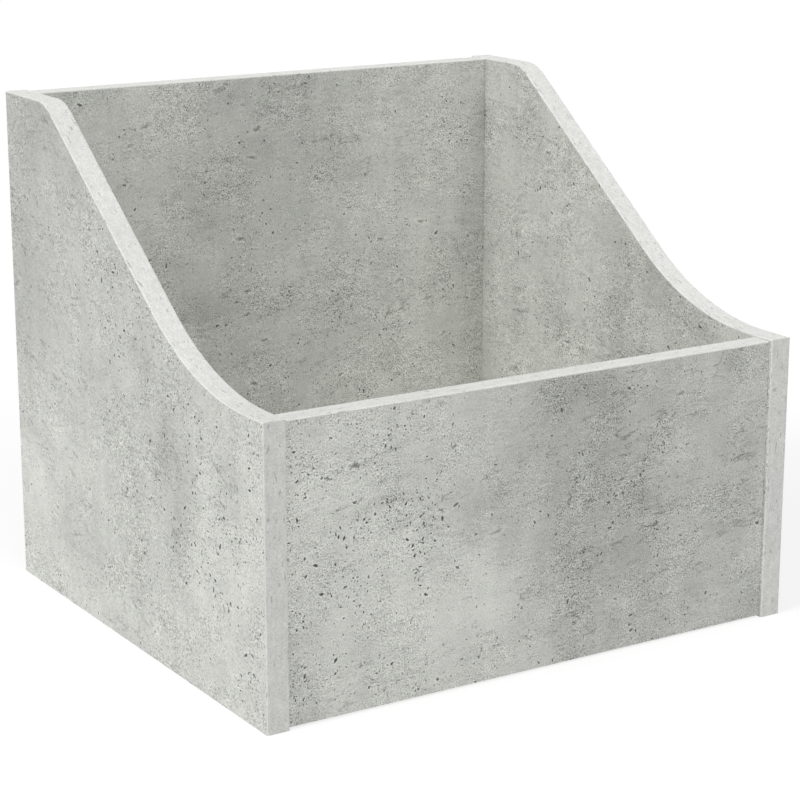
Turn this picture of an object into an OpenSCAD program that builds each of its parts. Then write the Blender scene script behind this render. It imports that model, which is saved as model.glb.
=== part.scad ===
// Open-top record storage case in laminated board, standing on its two side panels.
// The side panels fall from a high back to a low front along an S-shaped top edge.
// A low front panel, a high back panel and a raised bottom panel stand between them,
// drawn up by cam fittings and lined up by wooden dowels. Nothing moves once it is built.
//
// Origin: centre of the footprint, on the floor. +X right, +Y to the back, +Z up.

/* [Case] */
// Width over the outer faces of the side panels
case_w = 385; // [360:1:440]
// Depth of the side panels, front edge to back edge
case_d = 345; // [325:1:400]
// Height of the side panels at the back
back_h = 333; // [300:1:370]
// Height of the side panels at the front
front_h = 187; // [150:1:220]
// Thickness of every board
board_t = 15; // [14:0.5:19]

/* [Side panel outline] */
// Level stretch of the top edge at the back
back_flat = 51; // [20:1:80]
// Level stretch of the top edge at the front
front_flat = 23; // [5:1:50]
// Radius of the rounded brow below the back stretch
brow_r = 34; // [15:1:70]
// Radius of the hollow that runs out into the front stretch
hollow_r = 188; // [80:1:220]

/* [Edge bands] */
// Thickness of the bands glued on the edges that show
band_t = 1; // [0.4:0.1:2]
// Rounding along the outer corners of the bands
band_round = 0.8; // [0.2:0.1:1]

/* [Panel places] */
// How far the front and back panels sit inside the edges of the side panels
panel_recess = 2.5; // [0:0.5:8]
// Drop from the side panels' front top edge to the front panel's top
front_drop = 1.3; // [0:0.1:5]
// Drop from the side panels' back top edge to the back panel's top
back_drop = 0.5; // [0:0.1:5]
// Gap between the floor and the front and back panels
floor_gap = 1; // [0:0.5:5]
// Height of the bottom panel's underside above the floor
bottom_rise = 20; // [10:1:40]
// Gap left at each butt joint between boards
joint_gap = 0.1; // [0:0.05:0.5]

/* [Cam fittings] */
// Diameter of the cams
cam_d = 14.8; // [12:0.1:16]
// Height of the cams
cam_h = 12; // [10.5:0.1:12.5]
// Distance of the cams' centres from the end of their panel
cam_reach = 24; // [20:1:34]
// Depth of the cams' tops below the board's face
cam_sink = 0.2; // [0:0.1:0.5]
// Clearance round and under each cam in its hole
cam_fit = 0.1; // [0.05:0.05:0.3]
// Thickness of the cams' outer wall
cam_wall = 2.2; // [1.6:0.1:2.6]
// How far the cams' inner track is off centre, which draws the bolt in
cam_throw = 0.6; // [0.2:0.1:1]
// Height of the cams' inner track
cam_track_h = 6.8; // [6.6:0.1:7.2]
// Angle that the cams turn through to lock
cam_turn = 200; // [150:5:230]
// Length of the driver cross in the cams' tops
drive_l = 6.4; // [4:0.1:9]
// Width of the arms of the driver cross
drive_w = 1.3; // [0.8:0.1:2]
// Depth of the driver cross
drive_depth = 2.4; // [1:0.1:3]

/* [Connecting bolts] */
// Diameter of the thread that is driven into the side panels
thread_d = 5; // [4:0.1:6.5]
// Length of that thread
thread_l = 11; // [8:0.5:12]
// Diameter of the plain shank
shank_d = 6.4; // [5.5:0.1:7]
// Diameter of the neck that the cam's wall passes round
neck_d = 3.6; // [2.8:0.1:4]
// Diameter of the head inside the cam
head_d = 6.2; // [5.4:0.1:6.2]
// Length of the head
head_l = 3.6; // [2.6:0.1:4]
// Clearance round the bolts in the wood and in the cams
bolt_fit = 0.1; // [0.05:0.05:0.25]

/* [Dowels] */
// Diameter of the wooden dowels
dowel_d = 8; // [6:0.5:8]
// Length of the dowels
dowel_l = 30; // [25:1:40]
// Length of each dowel that sits in the side panel
dowel_in_side = 10; // [8:0.5:11]
// Chamfer on the dowels' ends
dowel_chamfer = 1; // [0.5:0.1:2]
// Clearance round each dowel and at its ends
dowel_fit = 0.1; // [0.05:0.05:0.3]

/* [Fitting places] */
// Height of the lower cams above the lower edge of the front and back panels
low_cam_rise = 60; // [50:1:70]
// Distance of the upper cams below the top of the front and back panels
high_cam_drop = 37; // [30:1:45]
// Distance of the bottom panel's cams from its front and back edges
bottom_cam_inset = 50; // [30:1:80]
// Spacing from each cam to the dowel next to it
dowel_pitch = 32; // [20:1:34]

/* [Hidden] */

$fn = 96;
eps = 0.5;

decor_grey = [0.72, 0.73, 0.71];
band_grey = [0.86, 0.87, 0.85];
zinc = [0.70, 0.70, 0.72];
steel = [0.62, 0.62, 0.64];
beech = [0.84, 0.70, 0.50];

LEFT = -1;
RIGHT = 1;

// The S-curve, in the plane of a side panel: [distance to the back, height].
// Its slope is the common tangent of the brow's circle and the hollow's circle.
brow_at = [case_d / 2 - back_flat, back_h - brow_r];
hollow_at = [-case_d / 2 + front_flat, front_h + hollow_r];
radii = brow_r + hollow_r;
curve_run = brow_at[0] - hollow_at[0];
curve_fall = back_h - front_h;
slope_l = sqrt(pow(curve_run, 2) + pow(curve_fall - radii, 2) - pow(radii, 2));
slope_angle = atan2(radii, slope_l) + atan2(curve_fall - radii, curve_run);
hollow_steps = 24;
brow_steps = 12;

// The whole top edge from front to back, as [point, outward normal] stations
top_path = concat(
    [[[-case_d / 2, front_h], [0, 1]]],
    [for (i = [0:hollow_steps])
        let (a = slope_angle * i / hollow_steps, n = [-sin(a), cos(a)])
            [hollow_at - hollow_r * n, n]],
    [for (i = [brow_steps:-1:0])
        let (a = slope_angle * i / brow_steps, n = [-sin(a), cos(a)])
            [brow_at + brow_r * n, n]],
    [[[case_d / 2, back_h], [0, 1]]]
);

// Cross-section of a band, with its outer face at x = 0 and its glued face at -band_t
round_steps = 4;
round_r = min(band_round, 0.9 * band_t);
band_section = concat(
    [[-band_t, board_t / 2], [-band_t, -board_t / 2]],
    [for (side = [-1, 1], i = [0:round_steps])
        let (a = 90 * (side < 0 ? i / round_steps - 1 : i / round_steps))
            [round_r * (cos(a) - 1), side * (board_t / 2 - round_r) + round_r * sin(a)]]
);

// Panels between the side panels
inner_x = case_w / 2 - board_t;
panel_w = 2 * (inner_x - joint_gap);
front_mid_y = -case_d / 2 + panel_recess + board_t / 2;
back_mid_y = case_d / 2 - panel_recess - board_t / 2;
front_top_z = front_h - front_drop;
back_top_z = back_h - back_drop;
bottom_mid_z = bottom_rise + board_t / 2;
bottom_d = back_mid_y - front_mid_y - board_t - 2 * joint_gap;
bottom_cam_y = bottom_d / 2 - bottom_cam_inset;

// Fittings, each at [y, z] on the inner faces of both side panels
low_cam_z = floor_gap + low_cam_rise;
front_cam_at = [[front_mid_y, low_cam_z], [front_mid_y, front_top_z - high_cam_drop]];
back_cam_at = [[back_mid_y, low_cam_z], [back_mid_y, back_top_z - high_cam_drop]];
bottom_cam_at = [for (s = [-1, 1]) [s * bottom_cam_y, bottom_mid_z]];
front_dowel_at = [for (p = front_cam_at) [p[0], p[1] - dowel_pitch]];
back_dowel_at = [for (p = back_cam_at) [p[0], p[1] - dowel_pitch]];
bottom_dowel_at = [for (s = [-1, 1]) [s * (bottom_cam_y - dowel_pitch), bottom_mid_z]];
TO_BACK = [-90, 0, 0];
TO_FLOOR = [180, 0, 0];

// Inside the cams and along the bolts
cam_hole_r = cam_d / 2 + cam_fit;
cam_top = board_t / 2 - cam_sink;
track_r = cam_d / 2 - cam_wall;
neck_slot_h = neck_d + 4 * bolt_fit;
entry_d = head_d + 2 * bolt_fit;
slot_lead = 28;
head_start = cam_reach - track_r + cam_throw + bolt_fit;
head_cone_l = (head_d - neck_d) / 2;
head_chamfer = 0.7;
shank_l = cam_reach - cam_hole_r - bolt_fit;
shank_hole_r = shank_d / 2 + 2 * bolt_fit;

// A straight length of band, lying along z
module straight_band(length) {
    linear_extrude(length)
        polygon(band_section);
}

// Turns a shape drawn in the side panel's plane upright and moves it to one side
module on_side(side) {
    translate([side * (case_w - board_t) / 2, 0, 0])
        rotate([90, 0, 90])
            children();
}

// The band that follows the whole S-curve: its section swept square to the path
module top_edge_band(side) {
    sides = len(band_section);
    last = (len(top_path) - 1) * sides;
    rings = [
        for (station = top_path, corner = band_section)
            [for (v = station[0] + corner[0] * station[1]) v, corner[1]]
    ];
    skin = [
        for (ring = [0:sides:last - sides], i = [0:sides - 1])
            let (j = (i + 1) % sides)
                each [
                    [ring + i, ring + j, ring + sides + j],
                    [ring + i, ring + sides + j, ring + sides + i]
                ]
    ];
    front_cap = [for (i = [sides - 1:-1:0]) i];
    back_cap = [for (i = [0:sides - 1]) last + i];
    color(band_grey)
        on_side(side)
            polyhedron(rings, concat(skin, [front_cap, back_cap]));
}

module front_edge_band(side) {
    color(band_grey)
        translate([side * (case_w - board_t) / 2, -case_d / 2, 0])
            rotate([0, 0, -90])
                straight_band(front_h - band_t);
}

module back_edge_band(side) {
    color(band_grey)
        translate([side * (case_w - board_t) / 2, case_d / 2, 0])
            rotate([0, 0, 90])
                straight_band(back_h - band_t);
}

// Outline of a side panel's board, which stops one band short of the finished edges
module board_outline() {
    front_y = -case_d / 2 + band_t;
    back_y = case_d / 2 - band_t;
    inner_edge = [for (station = top_path) station[0] - band_t * station[1]];
    curve = [for (i = [1:len(inner_edge) - 2]) inner_edge[i]];
    polygon(concat(
        [[back_y, back_h - band_t], [back_y, 0], [front_y, 0], [front_y, front_h - band_t]],
        curve
    ));
}

// Puts a fitting at each place: its x axis runs into the panel, its z axis out of the face
module at_joints(places, face, sides = [LEFT, RIGHT]) {
    for (side = sides, p = places)
        translate([side * inner_x, p[0], p[1]])
            rotate(face)
                rotate([0, 0, side == LEFT ? 0 : 180])
                    children();
}

// A round hole along a fitting's x axis
module hole_along(r, from, to) {
    translate([from, 0, 0])
        rotate([0, 90, 0])
            cylinder(r = r, h = to - from);
}

module side_holes(side, cams, dowels) {
    at_joints(cams, TO_BACK, [side])
        hole_along(thread_d / 2 + bolt_fit, -thread_l - bolt_fit, eps);
    at_joints(dowels, TO_BACK, [side])
        hole_along(dowel_d / 2 + dowel_fit, -dowel_in_side - dowel_fit, eps);
}

module side_panel(side) {
    color(decor_grey)
        difference() {
            on_side(side)
                linear_extrude(board_t, center = true)
                    board_outline();
            side_holes(side, front_cam_at, front_dowel_at);
            side_holes(side, back_cam_at, back_dowel_at);
            side_holes(side, bottom_cam_at, bottom_dowel_at);
        }
}

// The holes in a panel's ends, and the cam holes in the face that they are turned to
module panel_holes(cams, dowels, face) {
    at_joints(cams, face) {
        hole_along(shank_hole_r, -eps, cam_reach);
        translate([cam_reach, 0, cam_top - cam_h - cam_fit])
            cylinder(r = cam_hole_r, h = cam_h + cam_fit + cam_sink + eps);
    }
    at_joints(dowels, face)
        hole_along(dowel_d / 2 + dowel_fit, -eps, dowel_l - dowel_in_side + dowel_fit);
}

// A board that stands between the side panels, centred at mid_y
module upright_panel(mid_y, top_z, cams, dowels) {
    board_h = top_z - band_t - floor_gap;
    color(decor_grey)
        difference() {
            translate([-panel_w / 2, mid_y - board_t / 2, floor_gap])
                cube([panel_w, board_t, board_h]);
            panel_holes(cams, dowels, TO_BACK);
        }
}

module front_panel() {
    upright_panel(front_mid_y, front_top_z, front_cam_at, front_dowel_at);
}

module back_panel() {
    upright_panel(back_mid_y, back_top_z, back_cam_at, back_dowel_at);
}

module bottom_panel() {
    color(decor_grey)
        difference() {
            translate([-panel_w / 2, -bottom_d / 2, bottom_rise])
                cube([panel_w, bottom_d, board_t]);
            panel_holes(bottom_cam_at, bottom_dowel_at, TO_FLOOR);
        }
}

module panel_top_band(mid_y, top_z) {
    color(band_grey)
        translate([panel_w / 2, mid_y, top_z])
            rotate([0, -90, 0])
                straight_band(panel_w);
}

// A locking cam: a drum with an eccentric track for the bolt's head, a slot in its wall
// for the neck, an opening where the head goes in, and a driver cross in its top
module cam() {
    translate([cam_reach, 0, 0])
        difference() {
            translate([0, 0, cam_top - cam_h])
                cylinder(d = cam_d, h = cam_h);
            translate([cam_throw, 0, -cam_track_h / 2])
                cylinder(r = track_r, h = cam_track_h);
            rotate([0, 0, 180 - slot_lead])
                rotate_extrude(angle = cam_turn + slot_lead)
                    translate([cam_throw, -neck_slot_h / 2])
                        square([cam_d, neck_slot_h]);
            rotate([0, 0, 180 + cam_turn])
                rotate([0, 90, 0])
                    cylinder(d = entry_d, h = cam_d);
            for (a = [45, 135])
                rotate([0, 0, a])
                    translate([-drive_l / 2, -drive_w / 2, cam_top - drive_depth])
                        cube([drive_l, drive_w, drive_depth + eps]);
        }
}

// A connecting bolt, turned from one bar: thread, shank, neck and chamfered head
module cam_bolt() {
    rotate([0, 90, 0])
        rotate_extrude()
            polygon([
                [0, -thread_l], [thread_d / 2 - head_chamfer, -thread_l],
                [thread_d / 2, head_chamfer - thread_l], [thread_d / 2, 0],
                [shank_d / 2, 0], [shank_d / 2, shank_l],
                [neck_d / 2, shank_l], [neck_d / 2, head_start],
                [head_d / 2, head_start + head_cone_l],
                [head_d / 2, head_start + head_l - head_chamfer],
                [head_d / 2 - head_chamfer, head_start + head_l],
                [0, head_start + head_l]
            ]);
}

module dowel() {
    r = dowel_d / 2;
    end = dowel_l - dowel_in_side;
    rotate([0, 90, 0])
        rotate_extrude()
            polygon([
                [0, -dowel_in_side], [r - dowel_chamfer, -dowel_in_side],
                [r, dowel_chamfer - dowel_in_side], [r, end - dowel_chamfer],
                [r - dowel_chamfer, end], [0, end]
            ]);
}

module cams(places, face) {
    color(zinc)
        at_joints(places, face)
            cam();
}

module cam_bolts(places, face) {
    color(steel)
        at_joints(places, face)
            cam_bolt();
}

module dowels(places, face) {
    color(beech)
        at_joints(places, face)
            dowel();
}

side_panel(LEFT);  // left_side_panel
side_panel(RIGHT);  // right_side_panel
front_panel();
back_panel();
bottom_panel();
top_edge_band(LEFT);  // left_top_edge_band
top_edge_band(RIGHT);  // right_top_edge_band
front_edge_band(LEFT);  // left_front_edge_band
front_edge_band(RIGHT);  // right_front_edge_band
back_edge_band(LEFT);  // left_back_edge_band
back_edge_band(RIGHT);  // right_back_edge_band
panel_top_band(front_mid_y, front_top_z);  // front_panel_top_band
panel_top_band(back_mid_y, back_top_z);  // back_panel_top_band
cams(front_cam_at, TO_BACK);  // front_cams
cams(back_cam_at, TO_BACK);  // back_cams
cams(bottom_cam_at, TO_FLOOR);  // bottom_cams
cam_bolts(front_cam_at, TO_BACK);  // front_cam_bolts
cam_bolts(back_cam_at, TO_BACK);  // back_cam_bolts
cam_bolts(bottom_cam_at, TO_FLOOR);  // bottom_cam_bolts
dowels(front_dowel_at, TO_BACK);  // front_dowels
dowels(back_dowel_at, TO_BACK);  // back_dowels
dowels(bottom_dowel_at, TO_FLOOR);  // bottom_dowels
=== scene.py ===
import math
from collections import namedtuple

import bmesh
import bpy
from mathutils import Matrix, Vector


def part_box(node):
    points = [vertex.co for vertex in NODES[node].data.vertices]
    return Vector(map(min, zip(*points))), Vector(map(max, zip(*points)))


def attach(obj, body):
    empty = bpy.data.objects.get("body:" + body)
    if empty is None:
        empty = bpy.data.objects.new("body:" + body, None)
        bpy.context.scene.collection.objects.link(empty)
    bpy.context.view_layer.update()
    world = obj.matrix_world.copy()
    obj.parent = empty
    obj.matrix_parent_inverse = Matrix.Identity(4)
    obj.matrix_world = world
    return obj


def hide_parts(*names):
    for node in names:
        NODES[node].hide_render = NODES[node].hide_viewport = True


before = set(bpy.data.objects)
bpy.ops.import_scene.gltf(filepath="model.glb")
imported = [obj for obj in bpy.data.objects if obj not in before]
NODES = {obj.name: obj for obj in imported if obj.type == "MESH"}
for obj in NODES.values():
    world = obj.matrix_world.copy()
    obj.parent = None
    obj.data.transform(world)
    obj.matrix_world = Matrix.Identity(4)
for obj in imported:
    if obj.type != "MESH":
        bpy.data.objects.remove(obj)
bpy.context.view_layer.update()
MM = 0.001
ROOT = "root"  # the case is one body


# ---------------------------------------------------------------- shader graphs

class Value:
    """One output of a shader node. Sums and products of Values make Math nodes."""

    def __init__(self, graph, socket):
        self.graph, self.socket = graph, socket

    def __add__(self, other):
        return self.graph.math("ADD", self, other)

    def __radd__(self, other):
        return self.graph.math("ADD", other, self)

    def __sub__(self, other):
        return self.graph.math("SUBTRACT", self, other)

    def __rsub__(self, other):
        return self.graph.math("SUBTRACT", other, self)

    def __mul__(self, other):
        return self.graph.math("MULTIPLY", self, other)

    def __rmul__(self, other):
        return self.graph.math("MULTIPLY", other, self)

    def __truediv__(self, other):
        return self.graph.math("DIVIDE", self, other)


SMALLEST_SPOT, LARGEST_SPOT = 0.5, 1.7  # of a spot's radius; small ones are the most common
RIM_OUTER, RIM_INNER = 1.8, 1.1


class Graph:
    """A material's or a group's node tree, with short calls for the nodes used here."""

    def __init__(self, tree):
        self.tree = tree

    def add(self, kind, inputs=None, **settings):
        node = self.tree.nodes.new(kind)
        for name, value in settings.items():
            setattr(node, name, value)
        for name, value in (inputs or {}).items():
            self.put(node.inputs[name], value)
        return node

    def put(self, socket, value):
        if isinstance(value, Value):
            self.tree.links.new(value.socket, socket)
        elif socket.type == "RGBA":
            socket.default_value = (*value[:3], 1.0)
        else:
            socket.default_value = value

    def out(self, node, name=0):
        return Value(self, node.outputs[name])

    def math(self, operation, *terms):
        node = self.add("ShaderNodeMath", operation=operation)
        for socket, term in zip(node.inputs, terms):
            self.put(socket, term)
        return self.out(node)

    def vector(self, operation, *terms, scale=None):
        node = self.add("ShaderNodeVectorMath", operation=operation)
        for socket, term in zip(node.inputs, terms):
            self.put(socket, term)
        if scale is not None:
            self.put(node.inputs["Scale"], scale)
        return self.out(node, "Value" if operation == "LENGTH" else "Vector")

    def split(self, vector):
        node = self.add("ShaderNodeSeparateXYZ", {"Vector": vector})
        return [self.out(node, i) for i in range(3)]

    def join(self, x, y, z=0.0):
        return self.out(self.add("ShaderNodeCombineXYZ", {"X": x, "Y": y, "Z": z}))

    def noise(self, place, size, detail=2.0, roughness=0.5):
        """Smooth noise about 0, mostly within -0.3 to 0.3; size is the width of a patch."""
        node = self.add("ShaderNodeTexNoise", {
            "Vector": place, "Scale": 1 / size, "Detail": detail, "Roughness": roughness})
        return self.out(node) - 0.5

    def noise_vector(self, place, size, detail=1.0):
        """The same with three numbers for each place."""
        node = self.add("ShaderNodeTexNoise",
                        {"Vector": place, "Scale": 1 / size, "Detail": detail})
        return self.vector("SUBTRACT", self.out(node, "Color"), (0.5, 0.5, 0.5))

    def pushed(self, at, far, source, size, detail=1.0):
        """A place pushed about by noise of that size, taken at source."""
        push = self.vector("SCALE", self.noise_vector(source, size, detail), scale=far)
        return self.vector("ADD", at, push)

    def ease(self, value, start, end):
        """0 before start and 1 past end, with a smooth step between; start may be past end."""
        node = self.add("ShaderNodeMapRange", {
            "Value": value, "From Min": start, "From Max": end},
            interpolation_type="SMOOTHSTEP")
        return self.out(node)

    def mix(self, share, first, second):
        """Blends two colours."""
        node = self.add("ShaderNodeMix", data_type="RGBA", clamp_factor=True)
        for index, value in ((0, share), (6, first), (7, second)):
            self.put(node.inputs[index], value)
        return self.out(node, 2)

    def shade(self, colour, tone):
        """A colour made lighter or darker by a tone about 1."""
        return self.vector("SCALE", colour, scale=tone)

    def turned(self, vector, angle):
        """A vector turned in the plane of x and y."""
        node = self.add("ShaderNodeVectorRotate", {"Vector": vector, "Angle": angle},
                        rotation_type="Z_AXIS")
        return self.out(node)

    def largest(self, first, *others):
        for other in others:
            first = self.math("MAXIMUM", first, other)
        return first

    def seen_directly(self):
        """1 where the camera sees the surface, also in or through another one, and 0 where the
        surface only lights others."""
        path = self.add("ShaderNodeLightPath")
        names = ("Is Camera Ray", "Is Glossy Ray", "Is Transmission Ray")
        return self.largest(*(self.out(path, name) for name in names))

    def random(self, place):
        """Three random numbers from 0 to 1 for each place."""
        node = self.add("ShaderNodeTexWhiteNoise", {"Vector": place})
        return self.split(self.out(node, "Color"))

    def spots(self, place, spacing, radius, chance, stretch=1.0, soft=0.5, shift=0.0,
              turning=1.0):
        """Scattered spots, one at most in each cell, each turned, sized and drawn out its own way.
        Spacing and radius are in millimetres and chance is the share of cells that has one.
        Turning of 1 lets them lie any way, less keeps them nearer to level. Shift moves them all,
        so that two kinds of spots don't coincide.
        Returns 1 inside a spot and 0 outside, and the same for a rim just round it."""
        at = self.vector("ADD", place, (shift, 0.7 * shift, 0.0))
        flat = self.vector("MULTIPLY", at, (1.0, 1.0, 0.0))
        cell = self.add("ShaderNodeTexVoronoi", {"Vector": flat, "Scale": 1 / spacing},
                        voronoi_dimensions="2D")
        centre = self.out(cell, "Position")
        turn, size, keep = self.random(centre)
        away = self.vector("SUBTRACT", flat, centre)
        x, y, _ = self.split(self.turned(away, (turn - 0.5) * (math.pi * turning)))
        size = size * size
        length = 1.0 + size * stretch
        distance = self.vector("LENGTH", self.join(x / length, y))
        reach = radius * (SMALLEST_SPOT + size * (LARGEST_SPOT - SMALLEST_SPOT))
        kept = self.math("LESS_THAN", keep, chance)
        inside = self.ease(distance, reach, reach * soft) * kept
        rim = self.ease(distance, reach * RIM_OUTER, reach * RIM_INNER) * kept - inside
        return inside, rim


def empty_graph(owner):
    """The graph of a material or a world, with no node in it."""
    owner.use_nodes = True
    owner.node_tree.nodes.clear()
    return Graph(owner.node_tree)


def new_group(name, outputs, extra=()):
    """A node group that takes a place in millimetres, and numbers by the names in extra."""
    tree = bpy.data.node_groups.new(name, "ShaderNodeTree")
    tree.interface.new_socket("Place", in_out="INPUT", socket_type="NodeSocketVector")
    for in_name in extra:
        tree.interface.new_socket(in_name, in_out="INPUT", socket_type="NodeSocketFloat")
    for out_name, kind in outputs:
        tree.interface.new_socket(out_name, in_out="OUTPUT", socket_type=kind)
    graph = Graph(tree)
    place = graph.out(graph.add("NodeGroupInput"))
    end = graph.add("NodeGroupOutput")
    return graph, place, end


SURFACE_OUTPUTS = [("Color", "NodeSocketColor"), ("Roughness", "NodeSocketFloat"),
                   ("Height", "NodeSocketFloat")]


def finish_group(graph, end, colour, roughness, height):
    for name, value in (("Color", colour), ("Roughness", roughness), ("Height", height)):
        graph.put(end.inputs[name], value)
    return graph.tree


# ---------------------------------------------------------------- surfaces

DECOR = (0.585, 0.592, 0.556)
PORE = (0.068, 0.069, 0.065)
BAND = (0.668, 0.673, 0.644)

# how far each layer of the print lightens or darkens it
BROAD_TONE, CLOUD_TONE, STREAK_TONE, BRUSH_TONE = 0.55, 0.42, 0.18, 0.40
FINE_TONE, GRAIN_TONE, DARK_GRAIN_EXTRA = 0.54, 2.0, 0.30
SMUDGE_TONE, SMUDGE_DARK, WISP_DARK, CRACK_DARK, RIM_LIGHT = 0.84, 0.16, 0.11, 0.28, 0.11
# how dark each kind of spot is, from 0 to 1
SPECK_DARK, PINHOLE_DARK, PIT_DARK, SCRATCH_DARK = 0.62, 0.91, 0.72, 0.52
PRINT_DARK = 0.88
# how far Grit and Pores reach
MOST_GRIT, GRIT_TO_GRAIN, GRIT_TO_CLUSTER, GRIT_TO_DARK = 0.5, 0.07, 0.045, 0.10
PORES_FOR_GRAIN, PORES_FOR_PINHOLES, PORES_TO_PORES = 3.6, 1.5, 2.6


def decor_surface():
    """Printed concrete on the boards' faces. x runs along the board, y up it, in millimetres.
    Tone lightens or darkens it and Grit makes it grainier, from place to place. Pores adds pores
    in place of grain and pinholes."""
    g, place, end = new_group("decor", SURFACE_OUTPUTS, ("Tone", "Grit", "Pores"))
    given = g.add("NodeGroupInput")
    given_tone, grit, more_pores = (g.out(given, name) for name in ("Tone", "Grit", "Pores"))

    def layer(z, at=place):
        """The same place in another layer of the noise."""
        return g.vector("ADD", at, (0.0, 0.0, z))

    def drawn_out(at, x=1.0, y=1.0):
        """A share below 1 draws a pattern out along that axis."""
        return g.vector("MULTIPLY", at, (x, y, 1.0))

    drifted = g.pushed(place, 26.0, place, size=60.0, detail=2.0)
    broad = g.noise(drawn_out(drifted, y=0.5), size=110.0, detail=2.0)
    clouds = g.noise(drifted, size=36.0, detail=5.0, roughness=0.66)
    streaks = g.noise(drawn_out(place, y=0.10), size=12.0, detail=3.0)
    brushed = g.noise(drawn_out(drifted, x=0.14), size=3.6, detail=3.0, roughness=0.6)
    brush_share = g.ease(g.noise(layer(330.0), size=45.0, detail=2.0), -0.06, 0.16)

    # where the print is grainy and where it is smooth
    grainy = g.noise(layer(40.0, drifted), size=34.0, detail=5.0, roughness=0.65)
    grit_for_grain = g.math("MINIMUM", grit, MOST_GRIT) * GRIT_TO_GRAIN
    grain_share = g.ease(grainy + grit_for_grain, -0.15, 0.15)

    # wisps: dark grainy veins that rise a little to the right, and thin cracks along them
    leaning = g.turned(layer(90.0), math.radians(-10.0))
    vein = g.noise(drawn_out(leaning, x=0.28), size=30.0, detail=5.0, roughness=0.62)
    wisps = g.ease(vein, 0.07, 0.22)
    smudge = g.noise(drawn_out(drifted, x=0.55), size=8.0, detail=4.0, roughness=0.65)
    smudges = g.ease(smudge, 0.05, 0.20)
    cracks = g.ease(g.math("ABSOLUTE", vein - 0.07), 0.018, 0.0) * g.ease(smudge, -0.03, 0.06)

    fine = g.noise(drawn_out(place, x=0.6), size=2.4, detail=2.0, roughness=0.6)
    grain = g.noise(place, size=0.95, detail=1.0)
    strength = (0.30 + grain_share * 0.68) * (1.0 - more_pores * PORES_FOR_GRAIN)

    tone = 1.0 + given_tone + broad * BROAD_TONE + clouds * CLOUD_TONE
    tone = tone + streaks * STREAK_TONE + brushed * brush_share * BRUSH_TONE
    rough = fine * FINE_TONE + grain * GRAIN_TONE
    tone = tone + (rough + g.math("MINIMUM", rough, 0.0) * DARK_GRAIN_EXTRA) * strength
    tone = tone + smudge * SMUDGE_TONE * strength
    tone = tone - smudges * SMUDGE_DARK - wisps * WISP_DARK - cracks * CRACK_DARK

    # specks, pinholes and pores come in clusters, with a light rim round them
    cluster = g.noise(layer(210.0), size=30.0, detail=4.0) + grit * GRIT_TO_CLUSTER + more_pores
    cluster = g.ease(cluster, 0.02, 0.19)
    dense = cluster * (0.25 + grain_share * 0.75)
    ragged = g.pushed(place, 1.6, place, size=1.4)
    specks, speck_rim = g.spots(
        ragged, spacing=1.8, radius=0.44, stretch=0.8, shift=53.0,
        chance=0.03 + grain_share * 0.16 + dense * 0.30 + (wisps + smudges + cracks) * 0.42)
    pinholes, pin_rim = g.spots(
        ragged, spacing=3.2, radius=0.51, stretch=1.0,
        chance=0.05 + dense * 0.70 - more_pores * PORES_FOR_PINHOLES)
    pores, pore_rim = g.spots(
        ragged, spacing=7.5, radius=0.70, stretch=1.4, shift=31.0,
        chance=0.04 + dense * 0.46 + more_pores * PORES_TO_PORES)
    torn = g.pushed(place, 5.0, place, size=2.6, detail=2.0)
    pits, pit_rim = g.spots(torn, spacing=40.0, radius=1.2, chance=0.5, stretch=2.2, soft=0.1,
                            shift=77.0, turning=0.3)
    scratches, _ = g.spots(place, spacing=90.0, radius=0.2, chance=0.35, stretch=26.0, soft=0.6,
                           shift=140.0)

    tone = tone * (1.0 + g.largest(speck_rim, pin_rim, pore_rim, pit_rim) * RIM_LIGHT)
    dark = g.largest(specks * SPECK_DARK, pinholes * PINHOLE_DARK, pores, pits * PIT_DARK,
                     scratches * SCRATCH_DARK)
    dark = dark * (PRINT_DARK + grit * GRIT_TO_DARK + more_pores)
    colour = g.mix(dark, g.shade(DECOR, tone), PORE)
    roughness = 0.56 + clouds * 0.18 + dark * 0.12
    return finish_group(g, end, colour, roughness, grain * 0.03)


BAND_MARK_DARK, BAND_SPECK_DARK, BAND_RIM_LIGHT = 0.36, 0.34, 0.05


def band_surface():
    """The paler band on the edges: faint drawn-out streaks, mottling and small grey marks."""
    g, place, end = new_group("band", SURFACE_OUTPUTS)
    drawn = g.vector("MULTIPLY", place, (1.0, 0.35, 1.0))
    soft = g.noise(place, size=26.0, detail=3.0)
    streaks = g.noise(g.vector("MULTIPLY", place, (1.0, 0.06, 1.0)), size=3.0, detail=2.0)
    mottle = g.noise(drawn, size=3.6, detail=4.0, roughness=0.6)
    grain = g.noise(place, size=1.0, detail=1.0)
    tone = 1.0 + soft * 0.09 + streaks * 0.07 + mottle * 0.38 + grain * 0.52
    ragged = g.pushed(drawn, 1.2, place, size=1.2)
    marks, mark_rim = g.spots(ragged, spacing=5.0, radius=0.50, chance=0.55, stretch=1.8, soft=0.2)
    specks, _ = g.spots(ragged, spacing=2.2, radius=0.40, chance=0.20, stretch=0.8, shift=20.0)
    tone = tone * (1.0 + mark_rim * BAND_RIM_LIGHT)
    dark = g.largest(marks * BAND_MARK_DARK, specks * BAND_SPECK_DARK)
    colour = g.mix(dark, g.shade(BAND, tone), PORE)
    return finish_group(g, end, colour, 0.5 + soft * 0.1, grain * 0.02)


CHIP_BROWN, CHIP_PALE, CHIP_BARK, CHIP_GAP = (
    (0.40, 0.27, 0.150), (0.62, 0.47, 0.30), (0.17, 0.10, 0.055), (0.15, 0.10, 0.06))


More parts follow.
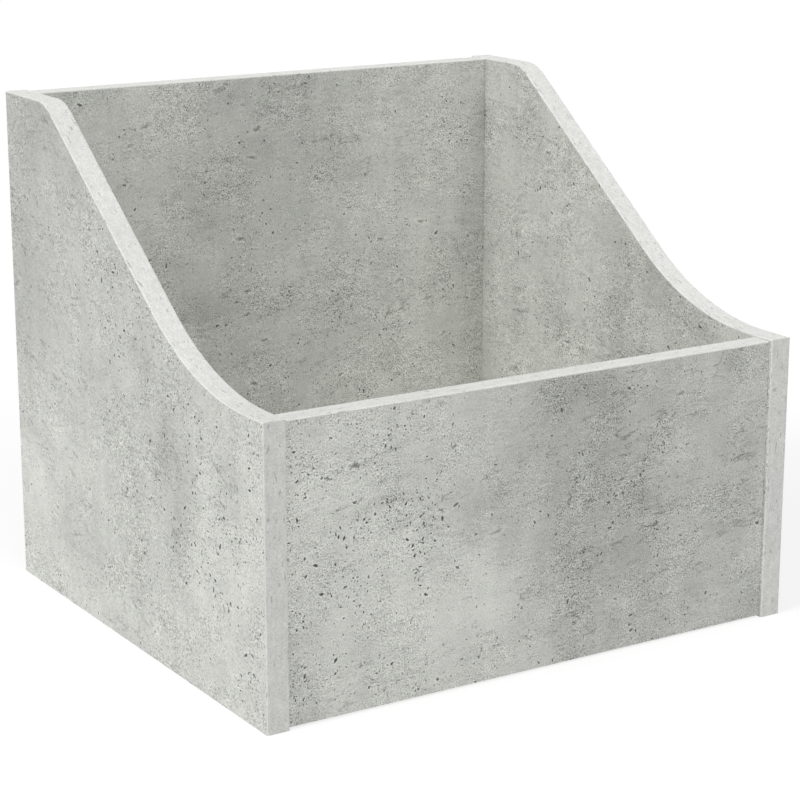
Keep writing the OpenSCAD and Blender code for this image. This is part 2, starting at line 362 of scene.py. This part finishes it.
def core_surface():
    """Particle board where it is cut: flat chips of pale wood."""
    g, place, end = new_group("core", SURFACE_OUTPUTS)
    wavy = g.pushed(place, 1.6, place, size=3.0)
    chips = g.add("ShaderNodeTexVoronoi", {
        "Vector": g.vector("MULTIPLY", wavy, (0.45, 1.0, 1.6)), "Scale": 0.75})
    tint, dark, _ = g.random(g.out(chips, "Position"))
    dust = g.noise(place, size=0.7, detail=2.0, roughness=0.6)
    wood = g.mix(tint, CHIP_BROWN, CHIP_PALE)
    wood = g.mix(g.ease(dark, 0.82, 0.97), wood, CHIP_BARK)
    gap = g.ease(g.out(chips, "Distance"), 0.45, 0.75)
    colour = g.mix(gap * 0.5, g.shade(wood, 1.0 + dust * 0.5), CHIP_GAP)
    return finish_group(g, end, colour, 0.82 + dust * 0.1, dust * 0.16)


BEECH, BEECH_FLECK = (0.60, 0.41, 0.235), (0.33, 0.19, 0.095)


def beech_surface():
    """Turned beech: fine lengthwise grain with short darker flecks."""
    g, place, end = new_group("beech", SURFACE_OUTPUTS)
    lengthwise = g.vector("MULTIPLY", place, (0.08, 1.0, 1.0))
    grain = g.noise(lengthwise, size=0.8, detail=3.0, roughness=0.6)
    rings = g.noise(lengthwise, size=3.0, detail=1.0)
    fleck = g.ease(g.noise(g.vector("MULTIPLY", place, (0.35, 1.0, 1.0)), size=0.5), 0.10, 0.2)
    colour = g.shade(BEECH, 1.0 + grain * 0.35 + rings * 0.3)
    colour = g.mix(fleck * 0.4, colour, BEECH_FLECK)
    return finish_group(g, end, colour, 0.62 + grain * 0.2, grain * 0.06 - fleck * 0.03)


def metal_surface(name, colour, roughness, grain_size, wear):
    """Bare or plated metal, clouded and lightly pitted."""
    g, place, end = new_group(name, SURFACE_OUTPUTS)
    cloud = g.noise(place, size=4.0, detail=3.0)
    grain = g.noise(place, size=grain_size, detail=2.0, roughness=0.6)
    shaded = g.shade(colour, 1.0 + cloud * wear + grain * 0.5 * wear)
    return finish_group(
        g, end, shaded, roughness + cloud * 0.25 + grain * 0.15, grain * 0.05)


GROUPS = {
    "decor": decor_surface(),
    "band": band_surface(),
    "core": core_surface(),
    "beech": beech_surface(),
    "zinc": metal_surface("zinc", (0.56, 0.565, 0.575), roughness=0.42, grain_size=0.35, wear=0.30),
    "steel": metal_surface("steel", (0.63, 0.635, 0.65), roughness=0.30, grain_size=0.5, wear=0.22),
}


def place_in_mm(g, axes, offset):
    """Object coordinates in millimetres, in the order of axes, moved by offset."""
    metres = g.out(g.add("ShaderNodeTexCoord"), "Object")
    parts = g.split(g.vector("SCALE", metres, scale=1 / MM))
    ordered = g.join(*[parts["XYZ".index(a)] for a in axes])
    return g.vector("ADD", ordered, offset)


def surface_of(g, kind, place, extra=None):
    node = g.add("ShaderNodeGroup", node_tree=GROUPS[kind])
    g.put(node.inputs["Place"], place)
    for name, value in (extra or {}).items():
        g.put(node.inputs[name], value)
    return [g.out(node, name) for name in ("Color", "Roughness", "Height")]


SPECULAR = 0.42


def shader(name, metallic=0.0):
    """An empty material: itself, its graph and its Principled node."""
    material = bpy.data.materials.new(name)
    g = empty_graph(material)
    bsdf = g.add("ShaderNodeBsdfPrincipled", {"Metallic": metallic, "Specular IOR Level": SPECULAR})
    end = g.add("ShaderNodeOutputMaterial")
    g.tree.links.new(bsdf.outputs["BSDF"], end.inputs["Surface"])
    return material, g, bsdf


def wire(g, bsdf, colour, roughness, height):
    """Height is in millimetres."""
    bump = g.add("ShaderNodeBump", {"Height": height, "Strength": 1.0, "Distance": MM})
    g.put(bsdf.inputs["Base Color"], colour)
    g.put(bsdf.inputs["Roughness"], roughness)
    g.tree.links.new(bump.outputs["Normal"], bsdf.inputs["Normal"])


def plain_material(name, kind, axes="XYZ", offset=(0.0, 0.0, 0.0), **settings):
    """A material with one surface all over."""
    material, g, bsdf = shader(name, **settings)
    wire(g, bsdf, *surface_of(g, kind, place_in_mm(g, axes, offset)))
    return material


PAPER = 0.22  # thickness of the printed layer on each face, in millimetres
PAINTED_BOUNCE_LEVEL = 150.0  # the height where a face's painted bounce light neither lightens nor darkens it
WANDER_W, WANDER = 30.0, 46.0  # how wide and how far the outlines of patches wander
FAR_FACE_SHIFT = (613.0, 271.0)  # a board's far face has other print than its near face

# A soft area of one face's print: its centre, half width and half height in millimetres, how much
# of that is soft, and what it adds to the print's Tone, Grit and Pores
Patch = namedtuple("Patch", "x y half_x half_y soft tone grit pores", defaults=(0.0, 0.0, 0.0))


def patch_tone(g, x, y, patches, painted_bounce):
    """What a face's patches add to its print, and its painted bounce light, which darkens the face
    with height.
    """
    wander = g.noise_vector(g.join(x, y, 5.0), WANDER_W, detail=3.0)
    x_off, y_off, _ = g.split(g.vector("SCALE", wander, scale=WANDER))
    x, y = x + x_off, y + y_off
    # painted bounce light in the tone: lighter below the level and darker above it
    steer = {"Tone": (PAINTED_BOUNCE_LEVEL - y) * painted_bounce, "Grit": 0.0, "Pores": 0.0}
    for patch in patches:
        away = g.join((x - patch.x) * (1 / patch.half_x), (y - patch.y) * (1 / patch.half_y))
        share = g.ease(g.vector("LENGTH", away), 1.0, 1.0 - patch.soft)
        for name, amount in zip(steer, (patch.tone, patch.grit, patch.pores)):
            if amount:
                steer[name] = share * amount + steer[name]
    return steer


def board_material(name, axes, node, offset, patches=(), painted_bounce=0.0):
    """Print on the two faces of a board and particle board on what is cut. The last of axes
    is the one across the board. Patches and the painted bounce light, which darkens with height,
    are for the face on its low side."""
    low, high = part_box(node)
    across = "XYZ".index(axes[2])
    middle, half = (low[across] + high[across]) / 2 / MM, (high[across] - low[across]) / 2 / MM
    material, g, bsdf = shader(name)
    place = place_in_mm(g, axes, (0.0, 0.0, -middle))
    x, y, z = g.split(place)
    far_face = g.math("GREATER_THAN", z, 0.0)
    printed = g.join(x + offset[0] + far_face * FAR_FACE_SHIFT[0], y + offset[1],
                     offset[2] + far_face * FAR_FACE_SHIFT[1])
    on_face = g.math("GREATER_THAN", g.math("ABSOLUTE", z), half - PAPER)
    near_face = 1.0 - far_face
    steer = patch_tone(g, x, y, patches, painted_bounce) if patches else {}
    steer = {name: value * near_face for name, value in steer.items()}
    face = surface_of(g, "decor", printed, steer)
    cut = surface_of(g, "core", place)
    colour = g.mix(on_face, cut[0], face[0])
    roughness = on_face * face[1] + (1.0 - on_face) * cut[1]
    height = on_face * face[2] + (1.0 - on_face) * cut[2]
    wire(g, bsdf, colour, roughness, height)
    return material


def dress(node, material):
    """Gives a CAD node's object one material."""
    for slot in NODES[node].material_slots:
        slot.material = material


# painted bounce light on the left side's outer face: lighter low down and darker higher up, as if
# lit from the floor
LEFT_PAINTED_BOUNCE = 0.00055
LEFT_PATCHES = (
    Patch(135, 190, 70, 55, 0.8, tone=-0.11, grit=-0.2),
    Patch(100, 305, 110, 62, 0.9, tone=-0.01, grit=-1.8),
    Patch(120, 92, 75, 48, 0.8, tone=0.095, grit=-0.6),
    Patch(-60, 110, 42, 75, 0.8, tone=-0.125, grit=0.5),
    Patch(-140, 95, 36, 46, 0.8, tone=0.09, grit=-0.2),
    Patch(-100, 143, 40, 8, 0.9, tone=-0.11, grit=1),
    Patch(10, 165, 60, 30, 0.8, tone=-0.04, grit=-0.4), Patch(-172, 95, 42, 160, 0.9, tone=0.06),
    Patch(-130, 120, 120, 150, 0.8, grit=0.6, pores=0.085),
    Patch(130, 120, 120, 160, 0.8, grit=-1.3), Patch(145, 62, 52, 52, 0.8, tone=0.105),
    Patch(80, 108, 42, 40, 0.9, tone=0.115), Patch(50, 16, 120, 30, 0.9, tone=0.065),
    Patch(-40, 20, 40, 30, 0.9, tone=0.045, grit=0.3),
    Patch(40, 200, 130, 80, 0.8, grit=0.3, pores=0.08),
    Patch(110, 95, 75, 60, 0.8, grit=0.9, pores=0.05),
    Patch(-55, 152, 16, 30, 0.9, tone=-0.09, grit=0.4),
    Patch(-66, 100, 15, 34, 0.9, tone=-0.09, grit=0.4, pores=0.02),
)
FRONT_PATCHES = (
    Patch(32, 100, 70, 150, 0.75, tone=-0.15, grit=0.2), Patch(130, 115, 90, 150, 0.5, tone=-0.07),
    Patch(24, 168, 38, 24, 0.9, tone=-0.065, grit=0.3),
    Patch(88, 100, 46, 22, 0.8, tone=-0.09, grit=0.2),
    Patch(-107, 100, 40, 28, 0.9, tone=0.08, grit=-1),
    Patch(-60, 50, 62, 42, 0.9, tone=0.08, grit=-0.8),
    Patch(-112, 128, 30, 7, 0.9, tone=-0.14, grit=1.4),
    Patch(-100, 112, 28, 6, 0.9, tone=-0.11, grit=1.2),
    Patch(-42, 110, 42, 34, 0.8, tone=-0.15, grit=-0.6),
    Patch(168, 8, 16, 14, 0.9, tone=-0.11, grit=1.2), Patch(-110, 90, 130, 150, 0.5, tone=0.07),
    Patch(-150, 95, 95, 150, 0.5, tone=0.015, grit=1.3, pores=0.01),
    Patch(-35, 100, 42, 150, 0.6, grit=-0.8),
    Patch(-84, 112, 24, 85, 0.8, tone=-0.02, grit=1, pores=0.05),
)

# each board takes its print from another place of the decor, so that no two are alike
for node, name, axes, *look in (
        ("left_side_panel", "left_side_board", "YZX", (0.0, 0.0, 10.0), LEFT_PATCHES, LEFT_PAINTED_BOUNCE),
        ("right_side_panel", "right_side_board", "YZX", (1400.0, 300.0, 90.0)),
        ("front_panel", "front_board", "XZY", (2300.0, 0.0, 170.0), FRONT_PATCHES),
        ("back_panel", "back_board", "XZY", (3100.0, 700.0, 250.0)),
        ("bottom_panel", "bottom_board", "XYZ", (4200.0, 900.0, 330.0))):
    dress(node, board_material(name, axes, node, *look))


# ---------------------------------------------------------------- pieces shaped here

def add_piece(name, verts, faces, normals, material, node):
    """Makes a mesh piece with the given normal at each corner of each face, which stands for a CAD
    node. A face with None for normals stays flat."""
    mesh = bpy.data.meshes.new(name)
    mesh.from_pydata([Vector(v) * MM for v in verts], [], faces)
    mesh.materials.append(material)
    mesh.polygons.foreach_set("use_smooth", [n is not None for n in normals])
    corners = []
    for polygon, given in zip(mesh.polygons, normals):
        corners += [tuple(polygon.normal)] * polygon.loop_total if given is None else given
    mesh.normals_split_custom_set(corners)
    mesh.validate()
    piece = bpy.data.objects.new(name, mesh)
    bpy.context.scene.collection.objects.link(piece)
    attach(piece, ROOT)
    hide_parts(node)
    return piece


BAND_T, BAND_ROUND, BOARD_T = 1.0, 0.8, 15.0
JOINT_LINE = 0.1  # chamfer where a band meets its board
ROUND_STEPS = 8


def band_ring():
    """The band's section as (out, across, normal out, normal across), from one glued corner round
    the outer face to the other."""
    half = BOARD_T / 2
    ring = []
    for side in (-1, 1):
        arc = []
        for i in range(ROUND_STEPS + 1):
            a = math.pi / 2 * i / ROUND_STEPS
            out, along = math.cos(a), math.sin(a)
            arc.append((BAND_ROUND * (out - 1), side * (half - BAND_ROUND + BAND_ROUND * along),
                        out, side * along))
        edge = [(JOINT_LINE - BAND_T, side * half, 0.0, side),
                (-BAND_T, side * (half - JOINT_LINE), 0.0, side)]
        ring += (arc + edge)[::-1] if side < 0 else arc + edge
    return ring


def swept_band(name, node, stations, across, material):
    """A band along stations of (point on the outer face, outward direction), in millimetres.
    Across is the direction over the board's thickness."""
    ring = band_ring()
    across = Vector(across)
    count = len(ring)
    verts, vert_normals = [], []
    for point, out in stations:
        point, out = Vector(point), Vector(out)
        for o, c, n_o, n_c in ring:
            verts.append(point + out * o + across * c)
            vert_normals.append((out * n_o + across * n_c).normalized())
    faces, normals = [], []
    for s in range(len(stations) - 1):
        for i in range(count):
            j = (i + 1) % count
            quad = [s * count + i, s * count + j, (s + 1) * count + j, (s + 1) * count + i]
            flat = i in (0, count - 2, count - 1)
            faces.append(quad)
            normals.append(None if flat else [tuple(vert_normals[k]) for k in quad])
    last = (len(stations) - 1) * count
    faces += [list(range(count))[::-1], [last + i for i in range(count)]]
    normals += [None, None]
    add_piece(name, verts, faces, normals, material, node)


def box_mm(node):
    low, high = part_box(node)
    return low / MM, high / MM


# The S-curve of the side panels, by the case's own measures
BACK_FLAT, FRONT_FLAT, BROW_R, HOLLOW_R = 51.0, 23.0, 34.0, 188.0
HOLLOW_STEPS, BROW_STEPS = 72, 36


def top_edge_stations(node):
    """Along the S-curve, from the front: flat, hollow, straight slope, brow, flat."""
    low, high = box_mm(node)
    middle = (low.x + high.x) / 2
    front_h = low.z + BAND_T
    brow = Vector((high.y - BACK_FLAT, high.z - BROW_R))
    hollow = Vector((low.y + FRONT_FLAT, front_h + HOLLOW_R))
    run, fall, radii = brow.x - hollow.x, high.z - front_h, BROW_R + HOLLOW_R
    # the common tangent of the two arcs
    slope = math.sqrt(run ** 2 + (fall - radii) ** 2 - radii ** 2)
    angle = math.atan2(radii, slope) + math.atan2(fall - radii, run)
    line = [((low.y, front_h), 0.0)]
    for i in range(HOLLOW_STEPS + 1):
        a = angle * i / HOLLOW_STEPS
        line.append((hollow - HOLLOW_R * Vector((-math.sin(a), math.cos(a))), a))
    for i in range(BROW_STEPS, -1, -1):
        a = angle * i / BROW_STEPS
        line.append((brow + BROW_R * Vector((-math.sin(a), math.cos(a))), a))
    line.append(((high.y, high.z), 0.0))
    return [((middle, p[0], p[1]), (0.0, -math.sin(a), math.cos(a))) for p, a in line]


def straight_stations(node, out, along):
    """The two ends of a straight band: out is the side its outer face is on, such as -y."""
    low, high = box_mm(node)
    start, end = (low + high) / 2, (low + high) / 2
    o, a = "xyz".index(out[1]), "xyz".index(along)
    start[o] = end[o] = high[o] if out[0] == "+" else low[o]
    start[a], end[a] = low[a], high[a]
    way = [0.0, 0.0, 0.0]
    way[o] = 1.0 if out[0] == "+" else -1.0
    return [(start, way), (end, way)]


# where each band takes its surface from, in millimetres
SIDE_BAND_OFFSETS = {"left": (0.0, 0.0, 0.0), "right": (800.0, 0.0, 0.0)}
PANEL_BAND_OFFSET = (0.0, 400.0, 0.0)

for side, offset in SIDE_BAND_OFFSETS.items():
    upright = plain_material(side + "_edge_band_upright", "band", "XZY", offset)
    along = plain_material(side + "_edge_band_along", "band", "XYZ", offset)
    top, front, back = (side + "_" + n + "_edge_band" for n in ("top", "front", "back"))
    swept_band(top + "_shaped", top, top_edge_stations(top), (1, 0, 0), along)
    swept_band(front + "_shaped", front, straight_stations(front, "-y", "z"), (1, 0, 0), upright)
    swept_band(back + "_shaped", back, straight_stations(back, "+y", "z"), (-1, 0, 0), upright)
lengthwise = plain_material("panel_band", "band", "YXZ", PANEL_BAND_OFFSET)
for node in ("front_panel_top_band", "back_panel_top_band"):
    swept_band(node + "_shaped", node, straight_stations(node, "+z", "x"), (0, -1, 0), lengthwise)

zinc = plain_material("cam_zinc_cast", "zinc", metallic=1.0)
steel = plain_material("bolt_steel_plated", "steel", metallic=1.0)
beech = plain_material("dowel_beech_turned", "beech")
for place in ("front", "back", "bottom"):
    dress(place + "_cams", zinc)


def turned_piece(name, node, material, places, profile, segments, radius_at):
    """Copies of one turned shape, each lying along x at a place of (side, y, z). Profile is a list
    of (x, radius) from one end to the other, with x counted inwards from the side panel's face;
    radius_at changes the radius by x and angle."""
    verts, faces = [], []
    inner_x = box_mm("right_side_panel")[0].x
    for side, y, z in places:
        first = len(verts)
        for x, r in profile:
            for i in range(segments):
                a = 2 * math.pi * i / segments
                reach = radius_at(x, r, a)
                verts.append((side * (inner_x - x),
                              y + side * reach * math.cos(a), z + reach * math.sin(a)))
        for k in range(len(profile) - 1):
            for i in range(segments):
                j = (i + 1) % segments
                a, b = first + k * segments, first + (k + 1) * segments
                faces.append([a + i, b + i, b + j, a + j])
        faces.append([first + i for i in range(segments)])
        last = first + (len(profile) - 1) * segments
        faces.append([last + i for i in range(segments)][::-1])
    mesh = add_piece(name, verts, faces, [None] * len(faces), material, node).data
    shape = bmesh.new()
    shape.from_mesh(mesh)
    bmesh.ops.recalc_face_normals(shape, faces=shape.faces)
    shape.to_mesh(mesh)
    shape.free()


def fitting_places(node, radius):
    """(side, y, z) of the four fittings of a node, two on each side."""
    low, high = box_mm(node)
    middle = (low + high) / 2
    upright = high.z - low.z > 3 * radius
    if upright:
        pairs = [(middle.y, low.z + radius), (middle.y, high.z - radius)]
    else:
        pairs = [(low.y + radius, middle.z), (high.y - radius, middle.z)]
    return [(side, y, z) for side in (-1, 1) for y, z in pairs]


# x of the bolts and dowels is 0 at the side panel's inner face and grows inwards
THREAD_L, THREAD_R, THREAD_ROOT, PITCH, RIDGE_HALF = 11.0, 2.5, 1.85, 1.6, 0.30
THREAD_STEPS, THREAD_END, TIP_L, TIP_R = 64, -0.6, 0.8, 1.2
SHANK_L, SHANK_R, NECK_R, HEAD_AT, HEAD_R, HEAD_L = 16.4, 3.2, 1.8, 19.5, 3.1, 3.6
COLLAR, SHANK_EASE, HEAD_EASE = 0.3, 0.4, 0.7  # lengths of the sloped corners
BOLT_SEGMENTS = 28


def bolt_radius(x, r, angle):
    """The thread: a sharp ridge that winds round the part inside the side panel."""
    if x > THREAD_END or x < TIP_L - THREAD_L:
        return r
    phase = (x / PITCH + angle / (2 * math.pi)) % 1.0
    ridge = max(0.0, 1.0 - abs(phase - 0.5) / RIDGE_HALF)
    return THREAD_ROOT + (THREAD_R - THREAD_ROOT) * ridge


def bolt_profile():
    threaded = THREAD_L - TIP_L + THREAD_END
    line = [(-THREAD_L, TIP_R)]
    line += [(TIP_L - THREAD_L + threaded * i / THREAD_STEPS, THREAD_ROOT)
             for i in range(THREAD_STEPS + 1)]
    line += [(-COLLAR, THREAD_R), (0.0, SHANK_R - COLLAR), (COLLAR, SHANK_R)]
    line += [(SHANK_L - SHANK_EASE, SHANK_R), (SHANK_L, SHANK_R - SHANK_EASE)]
    line += [(SHANK_L, NECK_R), (HEAD_AT, NECK_R), (HEAD_AT + (HEAD_R - NECK_R), HEAD_R)]
    line += [(HEAD_AT + HEAD_L - HEAD_EASE, HEAD_R), (HEAD_AT + HEAD_L, HEAD_R - HEAD_EASE)]
    return line


DOWEL_R, DOWEL_IN_SIDE, DOWEL_L = 4.0, 10.0, 30.0
FLUTES, FLUTE_DEPTH, FLUTE_SHARPNESS = 18, 0.28, 4
DOWEL_SEGMENTS = 6 * FLUTES
# its rounded end: (in from the end, off the radius)
DOWEL_END = ((0.0, 1.0), (0.4, 0.45), (1.0, 0.0))


def dowel_radius(x, r, angle):
    """Narrow glue flutes all round the dowel."""
    groove = (0.5 + 0.5 * math.cos(FLUTES * angle)) ** FLUTE_SHARPNESS
    return r - FLUTE_DEPTH * groove * min(1.0, r / DOWEL_R)


def dowel_profile():
    start = [(along - DOWEL_IN_SIDE, DOWEL_R - off) for along, off in DOWEL_END]
    end = [(DOWEL_L - DOWEL_IN_SIDE - along, DOWEL_R - off) for along, off in DOWEL_END[::-1]]
    return start + end


for place in ("front", "back", "bottom"):
    bolts, dowels = place + "_cam_bolts", place + "_dowels"
    turned_piece(bolts + "_threaded", bolts, steel, fitting_places(bolts, SHANK_R),
                 bolt_profile(), BOLT_SEGMENTS, bolt_radius)
    turned_piece(dowels + "_fluted", dowels, beech, fitting_places(dowels, DOWEL_R),
                 dowel_profile(), DOWEL_SEGMENTS, dowel_radius)


# ---------------------------------------------------------------- stage, light and camera

WHITE = (1.0, 1.0, 1.0)
FLOOR_BOUNCE, FLOOR_SHADOW, FLOOR_GLOW = 0.5, 0.24, 0.76
FLOOR_HALF, FLOOR_GAP = 6.0, 0.0002  # metres


def grey(level):
    return (level, level, level)


def floor_material():
    """A pale floor: seen directly it is white with a soft shadow, and it lights the case mildly."""
    material = bpy.data.materials.new("floor_pale")
    g = empty_graph(material)
    bounce = g.add("ShaderNodeBsdfDiffuse", {"Color": grey(FLOOR_BOUNCE)})
    shadow = g.add("ShaderNodeBsdfDiffuse", {"Color": grey(FLOOR_SHADOW)})
    glow = g.add("ShaderNodeEmission", {"Color": WHITE, "Strength": FLOOR_GLOW})
    both = g.add("ShaderNodeAddShader")
    g.tree.links.new(shadow.outputs[0], both.inputs[0])
    g.tree.links.new(glow.outputs[0], both.inputs[1])
    pick = g.add("ShaderNodeMixShader")
    g.put(pick.inputs[0], g.seen_directly())
    g.tree.links.new(bounce.outputs[0], pick.inputs[1])
    g.tree.links.new(both.outputs[0], pick.inputs[2])
    end = g.add("ShaderNodeOutputMaterial")
    g.tree.links.new(pick.outputs[0], end.inputs["Surface"])
    return material


def make_floor():
    mesh = bpy.data.meshes.new("floor")
    shape = bmesh.new()
    bmesh.ops.create_grid(shape, x_segments=1, y_segments=1, size=FLOOR_HALF)
    shape.to_mesh(mesh)
    shape.free()
    floor = bpy.data.objects.new("floor", mesh)
    bpy.context.scene.collection.objects.link(floor)
    floor.location = (0.0, 0.0, -FLOOR_GAP)
    mesh.materials.append(floor_material())


def make_world(ambient):
    """White where it is seen, and a dimmer light from all round."""
    world = bpy.data.worlds.new("studio")
    bpy.context.scene.world = world
    g = empty_graph(world)
    sky = g.add("ShaderNodeBackground", {
        "Color": WHITE, "Strength": ambient + g.seen_directly() * (1.0 - ambient)})
    end = g.add("ShaderNodeOutputWorld")
    g.tree.links.new(sky.outputs[0], end.inputs["Surface"])


def studio_light(name, towards, level, spread):
    """A far soft box, in the direction of towards, spread over so many degrees. A white surface
    that faces it gets that level."""
    lamp = bpy.data.lights.new(name, "SUN")
    lamp.energy = level * math.pi
    lamp.angle = math.radians(spread)
    light = bpy.data.objects.new(name, lamp)
    bpy.context.scene.collection.objects.link(light)
    light.location = towards
    light.rotation_euler = Vector(towards).to_track_quat("Z", "Y").to_euler()


# The photograph's viewpoint and direction
CAMERA_AT = (-0.802, -1.284, 0.539)
CAMERA_YAW = math.radians(32.19)
CAMERA_PITCH = math.radians(14.98)
LENS = 106.4


def make_camera():
    data = bpy.data.cameras.new("camera")
    data.sensor_width = 36.0
    data.lens = LENS
    data.clip_start = 0.05
    data.clip_end = 50.0
    camera = bpy.data.objects.new("camera", data)
    bpy.context.scene.collection.objects.link(camera)
    camera.location = CAMERA_AT
    camera.rotation_euler = (math.pi / 2 - CAMERA_PITCH, 0.0, -CAMERA_YAW)
    bpy.context.scene.camera = camera


make_floor()
make_world(ambient=0.45)
studio_light("side", (-0.70, -0.05, 0.70), level=0.61, spread=22.0)
studio_light("front", (0.0, -0.80, 0.59), level=0.31, spread=34.0)
make_camera()
bpy.context.scene.view_settings.view_transform = "Standard"
